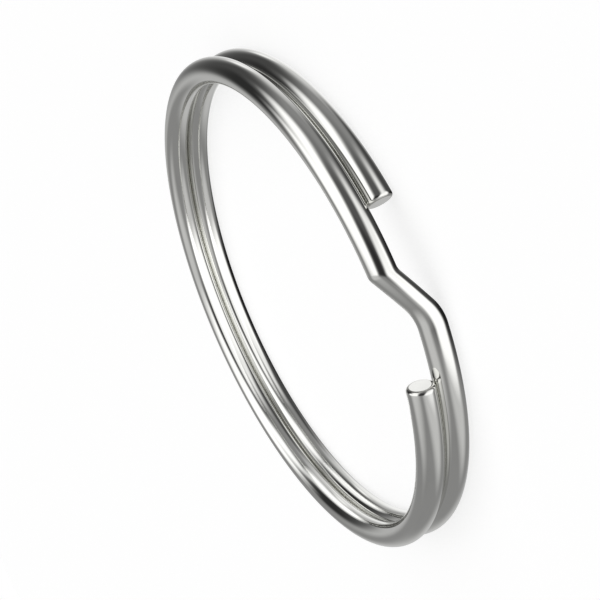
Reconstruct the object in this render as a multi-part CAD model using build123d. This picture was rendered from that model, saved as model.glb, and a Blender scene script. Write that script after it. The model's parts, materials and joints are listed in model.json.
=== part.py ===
from build123d import *
import os
from math import atan2, ceil, cos, degrees, pi, sin, tan

# Split ring: one length of round spring wire wound into two flat turns, the upper lying on
# the lower. An offset crimp steps the wire up from one turn to the other, and the two cut
# ends stop short of it, one on each side, so that a ring or key can be fed in at either end.
# Millimetres. +Z is the ring's axis, the lower turn lies on z = 0, the crimp is at -Y.

outer_diameter = 25.0     # across the outside of the wire
wire_diameter = 1.2       # round wire
turn_gap = 0.02           # the turns all but touch
crimp_run = 2.1           # along the wire, from the corner of one bend to the corner of the other
lower_bend_radius = 2.1   # eased bend where the wire leaves the lower turn
upper_bend_radius = 0.5   # sharp bend where it comes down on the upper turn
end_setback = 3.65        # along the wire, from the middle of the crimp to each cut end
end_rounding = 0.15       # edge of the cut ends, rounded by tumbling
crimp_station_step = 0.12  # spacing of the sections that the crimp is shaped through

wire_radius = wire_diameter / 2
mean_radius = outer_diameter / 2 - wire_radius
pitch = wire_diameter + turn_gap
lower_height = wire_radius
upper_height = lower_height + pitch
circumference = 2 * pi * mean_radius

# The crimp seen from the side, with the ring's circle unrolled: a bend, a sloping leg, a bend.
leg_slope = atan2(pitch, crimp_run)
lower_tangent = lower_bend_radius * tan(leg_slope / 2)
upper_tangent = upper_bend_radius * tan(leg_slope / 2)
crimp_start = -crimp_run / 2 - lower_tangent
crimp_end = crimp_run / 2 + upper_tangent


def section(along, height):
    """The wire's round section, a distance along the wire from the middle of the crimp."""
    angle = along / mean_radius - pi / 2
    outward = Vector(cos(angle), sin(angle), 0)
    forward = Vector(-sin(angle), cos(angle), 0)
    middle = outward * mean_radius + Vector(0, 0, height)
    return Plane(origin=middle, x_dir=outward, z_dir=forward) * Circle(wire_radius)


def flat_turn(start, stop, height):
    """One flat turn of the coil, from start to stop along the wire."""
    turned = degrees((stop - start) / mean_radius)
    return revolve(section(start, height), axis=Axis.Z, revolution_arc=turned)


def bend_points(start_angle, stop_angle, radius):
    """Distances along and up from a bend's flat end, through the bend."""
    steps = max(3, ceil(abs(stop_angle - start_angle) * radius / crimp_station_step))
    angles = [start_angle + (stop_angle - start_angle) * i / steps for i in range(steps + 1)]
    return [(radius * sin(a), radius * (1 - cos(a))) for a in angles]


def crimp_points():
    """Where the middle of the wire runs through the crimp, as distances along and heights."""
    lower = [(crimp_start + run, lower_height + rise)
             for run, rise in bend_points(0, leg_slope, lower_bend_radius)]
    upper = [(crimp_end - run, upper_height - rise)
             for run, rise in bend_points(leg_slope, 0, upper_bend_radius)]
    (run_0, rise_0), (run_1, rise_1) = lower[-1], upper[0]
    steps = ceil((run_1 - run_0) / crimp_station_step)
    leg = [(run_0 + (run_1 - run_0) * i / steps, rise_0 + (rise_1 - rise_0) * i / steps)
           for i in range(1, steps)]
    return lower + leg + upper


def offset_crimp():
    """The press shifts each slice of wire straight up, so every slice stays upright and round."""
    return loft([section(along, height) for along, height in crimp_points()])


lower_turn = flat_turn(end_setback - circumference, crimp_start, lower_height)
upper_turn = flat_turn(crimp_end, circumference - end_setback, upper_height)
ring = lower_turn + offset_crimp() + upper_turn

cut_ends = ring.faces().filter_by(GeomType.PLANE)
ring = fillet(cut_ends.edges(), end_rounding)

os.makedirs("parts", exist_ok=True)
export_step(ring, "parts/split_ring.step")
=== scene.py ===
import json
from math import atan2, cos, pi, radians, sin, tan
import bmesh
import bpy
from mathutils import Euler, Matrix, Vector


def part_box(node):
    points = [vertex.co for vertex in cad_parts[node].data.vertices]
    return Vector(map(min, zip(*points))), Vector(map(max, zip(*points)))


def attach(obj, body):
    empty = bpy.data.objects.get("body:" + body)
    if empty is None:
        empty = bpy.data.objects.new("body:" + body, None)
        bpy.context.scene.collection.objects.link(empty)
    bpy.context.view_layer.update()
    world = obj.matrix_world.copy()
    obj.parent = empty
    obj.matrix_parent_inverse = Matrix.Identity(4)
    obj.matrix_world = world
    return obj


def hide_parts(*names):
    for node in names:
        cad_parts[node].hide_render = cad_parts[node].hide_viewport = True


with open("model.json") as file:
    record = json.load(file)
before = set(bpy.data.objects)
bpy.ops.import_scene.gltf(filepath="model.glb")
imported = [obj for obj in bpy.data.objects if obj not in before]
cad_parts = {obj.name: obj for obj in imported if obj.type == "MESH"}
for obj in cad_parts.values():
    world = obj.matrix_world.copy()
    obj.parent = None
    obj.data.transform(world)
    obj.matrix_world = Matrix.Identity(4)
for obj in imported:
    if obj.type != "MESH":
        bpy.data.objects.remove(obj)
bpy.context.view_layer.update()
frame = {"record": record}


# The wire: round spring steel, drawn straight, cut to length and tumbled so that its cut ends
# lose their burrs. It is wound into two flat turns round a mandrel, pressed into an offset
# crimp where it steps from the lower turn to the upper, hardened, and plated with bright nickel.

mm = 0.001
ring_low, ring_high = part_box("split_ring")
eye = next(m for m in frame["record"]["mounts"] if m["name"] == "ring_eye")
outer_radius = (ring_high[0] - ring_low[0]) / 2
wire_radius = (outer_radius - eye["dims"]["r_mm"] * mm) / 2
mean_radius = outer_radius - wire_radius
lower_height = ring_low[2] + wire_radius
upper_height = ring_high[2] - wire_radius

crimp_run = 2.1 * mm            # along the wire, from one bend's corner to the other's
lower_bend_radius = 2.1 * mm
upper_bend_radius = 0.5 * mm
end_setback = 3.65 * mm         # from the middle of the crimp to each cut end
end_rounding = 0.15 * mm
sides_round_wire = 64
steps_round_rim = 6
turn_step = 0.2 * mm            # length of one ring of faces along the flat turns
crimp_step = 0.03 * mm          # and through the crimp, where the bends are tight

circumference = 2 * pi * mean_radius
rise = upper_height - lower_height
leg_slope = atan2(rise, crimp_run)
crimp_start = -crimp_run / 2 - lower_bend_radius * tan(leg_slope / 2)
crimp_end = crimp_run / 2 + upper_bend_radius * tan(leg_slope / 2)
wire_start = end_setback - circumference
wire_end = -wire_start


def height_along(along):
    """Height of the wire's middle, a distance along the wire from the middle of the crimp."""
    from_start = along - crimp_start
    to_end = crimp_end - along
    if from_start <= 0:
        return lower_height
    if to_end <= 0:
        return upper_height
    if from_start < lower_bend_radius * sin(leg_slope):
        return lower_height + lower_bend_radius - (lower_bend_radius**2 - from_start**2) ** 0.5
    if to_end < upper_bend_radius * sin(leg_slope):
        return upper_height - upper_bend_radius + (upper_bend_radius**2 - to_end**2) ** 0.5
    return (lower_height + upper_height) / 2 + along * tan(leg_slope)


def wind(straight):
    """Moves a point of the straight wire to its place in the ring."""
    up, outward, along = straight
    angle = along / mean_radius - pi / 2
    radius = mean_radius + outward
    return Vector((radius * cos(angle), radius * sin(angle), height_along(along) + up))


def add_object(name, data):
    """Puts a mesh, lamp or camera into the scene as an object at the origin."""
    new_object = bpy.data.objects.new(name, data)
    bpy.context.collection.objects.link(new_object)
    return new_object


def add_mesh(name, shape):
    """Turns a finished bmesh into a mesh object."""
    data = bpy.data.meshes.new(name)
    shape.to_mesh(data)
    shape.free()
    return add_object(name, data)


# The straight wire is drawn out of one circle, in three lengths of their own fineness.
wire_shape = bmesh.new()
bmesh.ops.create_circle(wire_shape, segments=sides_round_wire, radius=wire_radius)
bmesh.ops.translate(wire_shape, verts=wire_shape.verts, vec=(0, 0, wire_start))
tip = list(wire_shape.edges)
reached = wire_start
for stop, step in ((crimp_start, turn_step), (crimp_end, crimp_step), (wire_end, turn_step)):
    drawn = bmesh.ops.extrude_edge_only(wire_shape, edges=tip)["geom"]
    tip_verts = [item for item in drawn if isinstance(item, bmesh.types.BMVert)]
    tip = [item for item in drawn if isinstance(item, bmesh.types.BMEdge)
           and all(vert in tip_verts for vert in item.verts)]
    bmesh.ops.translate(wire_shape, verts=tip_verts, vec=(0, 0, stop - reached))
    long_edges = [edge for vert in tip_verts for edge in vert.link_edges if edge not in tip]
    bmesh.ops.subdivide_edges(wire_shape, edges=long_edges, use_grid_fill=True,
                              cuts=round((stop - reached) / step))
    reached = stop
cut_ends = bmesh.ops.holes_fill(wire_shape, edges=wire_shape.edges)["faces"]
cut_rims = [edge for face in cut_ends for edge in face.edges]
bmesh.ops.bevel(wire_shape, geom=cut_rims, offset=end_rounding, offset_type="OFFSET",
                segments=steps_round_rim, profile=0.5, affect="EDGES", material=-1)

# Then it is wound, and keeps its place on the straight wire, in millimetres, for the material.
# All its faces are shaded smooth but the two cut ones, which have many sides.
drawn_place = wire_shape.verts.layers.float_vector.new("drawn_wire")
for vert in wire_shape.verts:
    vert[drawn_place] = vert.co / mm
    vert.co = wind(vert.co)
bmesh.ops.recalc_face_normals(wire_shape, faces=wire_shape.faces)
for face in wire_shape.faces:
    face.smooth = len(face.verts) == 4
wire = add_mesh("wound_wire", wire_shape)


def linear(hex_colour):
    """An sRGB hex colour as the linear colour that shaders take."""
    values = [int(hex_colour[i:i + 2], 16) / 255 for i in (1, 3, 5)]
    return [v / 12.92 if v <= 0.04045 else ((v + 0.055) / 1.055) ** 2.4 for v in values] + [1]


def add_node(tree, kind, inputs=None, **settings):
    """Adds a node with its settings; an input is a value, or another node's output to link."""
    node = tree.nodes.new(kind)
    for name, value in settings.items():
        setattr(node, name, value)
    for socket, value in (inputs or {}).items():
        if isinstance(value, bpy.types.NodeSocket):
            tree.links.new(value, node.inputs[socket])
        else:
            node.inputs[socket].default_value = value
    return node


def empty_tree(owner):
    """The node tree of a new material or world, with its first nodes taken out."""
    owner.use_nodes = True
    owner.node_tree.nodes.clear()
    return owner.node_tree


# Bright nickel plate on drawn steel: a clear mirror, a little warmer than chromium. The lines of
# the drawing die show through along the wire, and handling leaves patches of thin haze on it.
nickel = bpy.data.materials.new("bright_nickel_plate")
tree = empty_tree(nickel)
output = add_node(tree, "ShaderNodeOutputMaterial")
place = add_node(tree, "ShaderNodeAttribute", attribute_name="drawn_wire").outputs["Vector"]

# Die lines are 0.01 to 0.02 mm wide and run for centimetres. They are drawn 0.08 mm wide, as
# fine as shows at this size, and about 8 mm long.
die_lines_per_mm = 12.0
die_line_ends_per_mm = 0.12
die_space = add_node(tree, "ShaderNodeVectorMath",
                     {0: place, 1: (die_lines_per_mm, die_lines_per_mm, die_line_ends_per_mm)},
                     operation="MULTIPLY").outputs[0]
die_lines = add_node(tree, "ShaderNodeTexNoise",
                     {"Vector": die_space, "Scale": 1.0, "Detail": 3.0}).outputs[0]

# Haze of handling, in patches of 1 to 1.5 mm across the wire and 3 mm along it, because fingers
# rub along it.
haze_patches_across = 0.8       # in each millimetre
haze_patches_along = 0.3
haze_space = add_node(tree, "ShaderNodeVectorMath",
                      {0: place, 1: (haze_patches_across, haze_patches_across, haze_patches_along)},
                      operation="MULTIPLY").outputs[0]
haze = add_node(tree, "ShaderNodeTexNoise",
                {"Vector": haze_space, "Scale": 1.0, "Detail": 4.0, "Roughness": 0.6}).outputs[0]

# The cut ends are sheared before plating, so their faces keep a fine torn grain, and on their
# rims the plate has rubbed thin.
grains_per_mm = 25.0            # a torn grain is 0.04 mm wide
face_depth = 0.002              # mm; nearer to the wire's end than this is the cut face
relief_depth = 0.0006 * mm      # of the die lines and the grain
cut_place = wire_end / mm
along = add_node(tree, "ShaderNodeSeparateXYZ", {0: place}).outputs[2]
along = add_node(tree, "ShaderNodeMath", {0: along}, operation="ABSOLUTE").outputs[0]
rim = add_node(tree, "ShaderNodeMapRange", {"Value": along, "From Max": cut_place,
                                            "From Min": cut_place - end_rounding / mm}).outputs[0]
cut_face = add_node(tree, "ShaderNodeMath", {0: along, 1: cut_place - face_depth},
                    operation="GREATER_THAN").outputs[0]
torn_grain = add_node(tree, "ShaderNodeTexNoise",
                      {"Vector": place, "Scale": grains_per_mm, "Detail": 2.0}).outputs[0]
relief = add_node(tree, "ShaderNodeMix", {0: cut_face, 2: die_lines, 3: torn_grain}).outputs[0]
bump = add_node(tree, "ShaderNodeBump", {"Strength": 1.0, "Distance": relief_depth, "Height": relief})

# Roughness: that of clean plate, more where there is haze, in the die lines and on the rims.
clean_roughness = 0.02
haze_roughness = 0.06
die_line_roughness = 0.02
rim_roughness = 0.06
dull_from = 0.4                 # strength of haze at which it starts to dull the plate
dull_until = 0.75               # and at which it dulls it fully
dull = add_node(tree, "ShaderNodeMapRange",
                {"Value": haze, "From Min": dull_from, "From Max": dull_until,
                 "To Min": clean_roughness, "To Max": haze_roughness}).outputs[0]
dull = add_node(tree, "ShaderNodeMath", {0: die_lines, 1: die_line_roughness, 2: dull},
                operation="MULTIPLY_ADD").outputs[0]
dull = add_node(tree, "ShaderNodeMath", {0: rim, 1: rim_roughness, 2: dull},
                operation="MULTIPLY_ADD").outputs[0]

# Colour: the plate, a shade greyer under haze, with some of the steel showing on the worn rims.
clean_plate = linear("#e7e7e4")
hazy_plate = linear("#e0e0dd")
steel = linear("#cbc7c0")
grey_from = 0.5                 # strength of haze at which it starts to look grey
grey_until = 0.8                # and at which it looks fully grey
rim_wear = 0.25                 # share of the plate that is worn off at the very edge
film = add_node(tree, "ShaderNodeMapRange",
                {"Value": haze, "From Min": grey_from, "From Max": grey_until}).outputs[0]
plate = add_node(tree, "ShaderNodeMix", {0: film, 6: clean_plate, 7: hazy_plate},
                 data_type="RGBA").outputs[2]
worn = add_node(tree, "ShaderNodeMapRange",
                {"Value": cut_face, "To Min": rim_wear, "To Max": 0.0}).outputs[0]
worn = add_node(tree, "ShaderNodeMath", {0: rim, 1: worn}, operation="MULTIPLY").outputs[0]
plate = add_node(tree, "ShaderNodeMix", {0: worn, 6: plate, 7: steel}, data_type="RGBA").outputs[2]
shader = add_node(tree, "ShaderNodeBsdfPrincipled", {
    "Base Color": plate, "Metallic": 1.0, "Roughness": dull, "Normal": bump.outputs[0]})
tree.links.new(shader.outputs["BSDF"], output.inputs["Surface"])
wire.data.materials.append(nickel)

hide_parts("split_ring")
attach(wire, "root")


# The table: a sheet of matt white paper that the ring lies on. It takes the ring's soft shadow.
# The metal doesn't mirror the paper; it mirrors the studio round the ring instead.
table_reach = 2000 * mm         # from the ring to each edge of the paper
table_shape = bmesh.new()
bmesh.ops.create_grid(table_shape, x_segments=1, y_segments=1, size=table_reach)
table = add_mesh("table", table_shape)
table.visible_glossy = False


def seen_directly(tree):
    """1 for a ray straight from the camera or through glass, and 0 for light on its way."""
    path = add_node(tree, "ShaderNodeLightPath")
    return add_node(tree, "ShaderNodeMath", {0: path.outputs["Is Camera Ray"],
                                             1: path.outputs["Is Transmission Ray"]},
                    operation="MAXIMUM").outputs[0]


# Uncoated white paper: it scatters light evenly and has no shine. Half of the white that the
# camera sees is light of its own, which lifts the paper to white and thins the shadow on it.
own_light_share = 0.5
own_light = 1.5
matt_white = bpy.data.materials.new("matt_white_paper")
tree = empty_tree(matt_white)
output = add_node(tree, "ShaderNodeOutputMaterial")
paper = add_node(tree, "ShaderNodeBsdfDiffuse", {"Color": linear("#e8e8e8")})
glow = add_node(tree, "ShaderNodeEmission", {"Color": linear("#ffffff"), "Strength": own_light})
lifted = add_node(tree, "ShaderNodeMixShader",
                  {0: own_light_share, 1: paper.outputs[0], 2: glow.outputs[0]})
shown = add_node(tree, "ShaderNodeMixShader",
                 {0: seen_directly(tree), 1: paper.outputs[0], 2: lifted.outputs[0]})
tree.links.new(shown.outputs[0], output.inputs["Surface"])
table.data.materials.append(matt_white)


# The camera: low over the table on the crimp's side, and rolled, so that it sees the ring stand
# on edge, as a hung ring would.
camera_data = bpy.data.cameras.new("camera")
camera_data.lens = 64
camera_data.clip_start = 1 * mm
camera = add_object("camera", camera_data)
bpy.context.scene.camera = camera
camera_azimuth = radians(-83.67)
camera_elevation = radians(19.79)
camera_distance = 52.0 * mm
camera_roll = radians(-113.7)
camera_aim = Vector((0.155, -0.055, -0.196))    # mm from the ring's middle
ring_middle = Vector((0, 0, (lower_height + upper_height) / 2))
aim = ring_middle + camera_aim * mm
camera.location = ring_middle + camera_distance * Vector((
    cos(camera_elevation) * cos(camera_azimuth),
    cos(camera_elevation) * sin(camera_azimuth),
    sin(camera_elevation)))
level = (aim - camera.location).to_track_quat("-Z", "Y").to_matrix()
camera.rotation_euler = (level @ Euler((0, 0, camera_roll)).to_matrix()).to_euler()


# The studio: softboxes, black cards and grey walls round the ring, which give the bright metal its
# light and dark bands. Each is a soft-edged panel of the world, placed by its direction from the
# ring as the camera sees it. They light the table too, so that white paper renders nearly white.
studio = bpy.data.worlds.new("studio")
bpy.context.scene.world = studio
tree = empty_tree(studio)
output = add_node(tree, "ShaderNodeOutputWorld")
direction = add_node(tree, "ShaderNodeTexCoord").outputs["Generated"]
camera_axes = camera.rotation_euler.to_matrix()


def toward(azimuth, elevation):
    """Direction from the ring: azimuth 0 back to the camera, 90 to the right; elevation up."""
    azimuth, elevation = radians(azimuth), radians(elevation)
    return camera_axes @ Vector((cos(elevation) * sin(azimuth), sin(elevation),
                                 cos(elevation) * cos(azimuth)))


def soft_panel(below, azimuth, elevation, width, height, lean, softness, brightness):
    """Lays a soft-edged panel, sized in degrees, over the brightness of the studio so far."""
    facing = toward(azimuth, elevation)
    upright = (toward(azimuth, elevation + 1) - facing).normalized()
    sideways = upright.cross(facing)
    up = upright * cos(radians(lean)) + sideways * sin(radians(lean))
    across = up.cross(facing)
    nearly_sideways = 0.01      # keeps the division by how far ahead a ray points finite
    forward = add_node(tree, "ShaderNodeVectorMath", {0: direction, 1: facing},
                       operation="DOT_PRODUCT").outputs["Value"]
    ahead = add_node(tree, "ShaderNodeMath", {0: forward, 1: nearly_sideways},
                     operation="MAXIMUM").outputs[0]
    cover = add_node(tree, "ShaderNodeMath", {0: forward, 1: 0.0}, operation="GREATER_THAN").outputs[0]
    for axis, size in ((across, width), (up, height)):
        full_until = tan(radians(max(size / 2 - softness, 0)))
        gone_from = tan(radians(size / 2 + softness))
        offset = add_node(tree, "ShaderNodeVectorMath", {0: direction, 1: axis},
                          operation="DOT_PRODUCT").outputs["Value"]
        angle = add_node(tree, "ShaderNodeMath", {0: offset, 1: ahead}, operation="DIVIDE").outputs[0]
        away = add_node(tree, "ShaderNodeMath", {0: angle}, operation="ABSOLUTE").outputs[0]
        inside = add_node(tree, "ShaderNodeMapRange",
                          {"Value": away, "From Min": full_until, "From Max": gone_from,
                           "To Min": 1.0, "To Max": 0.0},
                          interpolation_type="SMOOTHSTEP").outputs[0]
        cover = add_node(tree, "ShaderNodeMath", {0: cover, 1: inside}, operation="MULTIPLY").outputs[0]
    return add_node(tree, "ShaderNodeMix", {0: cover, 2: below, 3: brightness}).outputs[0]


grey_room = 0.28
panels = [
    # azimuth, elevation, width, height, lean, softness, brightness
    # Pale walls below, to the left, the right and behind, and one above behind.
    (-70, -42, 54, 44, 0, 14, 0.63),
    (65, -40, 68, 44, 0, 14, 0.63),
    (172, -26, 40, 36, 0, 14, 0.56),
    (-155, -4, 44, 26, 0, 9, 0.5),
    (172, 44, 44, 54, 0, 16, 0.72),
    # Softboxes on the left, one over the other, with a black card behind and one beside them.
    (-121, 38, 45, 66, 0, 16, 0.07),
    (-54, 22, 46, 57, 0, 12, 1.3),
    (-70, -10, 72, 36, 12, 10, 1.3),
    (-110, 16, 26, 40, 22, 10, 0.03),
    # Softboxes on the right, one over the other.
    (50, 2, 76, 68, -14, 11, 1.3),
    (33, 34, 42, 34, -18, 14, 1.05),
    # The camera's stand and black cloth, which narrow upwards, between the softboxes.
    (-12, 46, 27, 40, 0, 17, 0.19),
    (-7, 20, 48, 46, -6, 13, 0.1),
    (-8, -12, 46, 38, 0, 13, 0.07),
    (-6, -6, 30, 34, -6, 10, 0.03),
    # Black cards on the right.
    (116, 32, 42, 60, -14, 12, 0.07),
    (134, 13, 60, 26, 0, 10, 0.015),
    # A small white card that lights the cut end of the lower turn.
    (-170, 48, 12, 12, 0, 5, 1.1),
]
brightness = grey_room
for panel in panels:
    brightness = soft_panel(brightness, *panel)
lit = add_node(tree, "ShaderNodeBackground", {"Color": linear("#ffffff"), "Strength": brightness})

# White paper hangs behind the ring. The camera sees it all round, and the metal mirrors the strip
# of it that stands free between the black cards and the wall.
white = add_node(tree, "ShaderNodeBackground", {"Color": linear("#ffffff"), "Strength": 1.0})
free_strip = soft_panel(0.0, azimuth=175, elevation=19, width=23, height=50, lean=-16, softness=8,
                        brightness=1.0)
glossy = add_node(tree, "ShaderNodeLightPath").outputs["Is Glossy Ray"]
mirrored = add_node(tree, "ShaderNodeMath", {0: free_strip, 1: glossy}, operation="MULTIPLY").outputs[0]
viewed = add_node(tree, "ShaderNodeMath", {0: seen_directly(tree), 1: mirrored},
                  operation="MAXIMUM").outputs[0]
shown = add_node(tree, "ShaderNodeMixShader", {0: viewed, 1: lit.outputs[0], 2: white.outputs[0]})
tree.links.new(shown.outputs[0], output.inputs["Surface"])


# Two small white cards stand upright inside the ring and light the inside of the wire from close by:
# one across the middle, for the wire opposite the crimp, and a smaller one beside the wire. Each is
# a stack of thin lamps of several sizes, so its edge is soft. They show in the metal only.
near_cards = [
    # place from the ring's middle (mm), direction its back turns to, width and height (mm)
    (Vector((-2, 1, 3)), radians(-95), 13, 9),
    (Vector((-7.5, 5, 0.7)), radians(25), 3, 2.5),
]
near_card_brightness = 1.1
near_card_sizes = (1.25, 1.12, 1.0, 0.9, 0.8)   # of the lamps in a stack, front to back
near_card_spacing = 0.1                         # mm; lamps in one plane would not add up
for card_number, (place, facing_away, width, height) in enumerate(near_cards):
    back = Vector((cos(facing_away), sin(facing_away), 0))
    for layer, size in enumerate(near_card_sizes):
        lamp_data = bpy.data.lights.new(f"near_card_{card_number}_{layer}", "AREA")
        lamp_data.shape = "ELLIPSE"
        lamp_data.size = width * size * mm
        lamp_data.size_y = height * size * mm
        lamp_area = pi / 4 * lamp_data.size * lamp_data.size_y
        lamp_brightness = near_card_brightness / len(near_card_sizes)
        lamp_data.energy = lamp_brightness * pi * lamp_area
        lamp = add_object(lamp_data.name, lamp_data)
        lamp.location = ring_middle + (place + back * layer * near_card_spacing) * mm
        lamp.rotation_euler = back.to_track_quat("Z", "Y").to_euler()
        lamp.visible_camera = False
        lamp.visible_diffuse = False


# Light that enters the groove between the turns bounces to and fro many times before it leaves,
# and a ray that is cut off earlier would leave a black line there.
groove_bounces = 24
bpy.context.scene.cycles.max_bounces = groove_bounces
bpy.context.scene.cycles.glossy_bounces = groove_bounces
bpy.context.scene.view_settings.view_transform = "Standard"
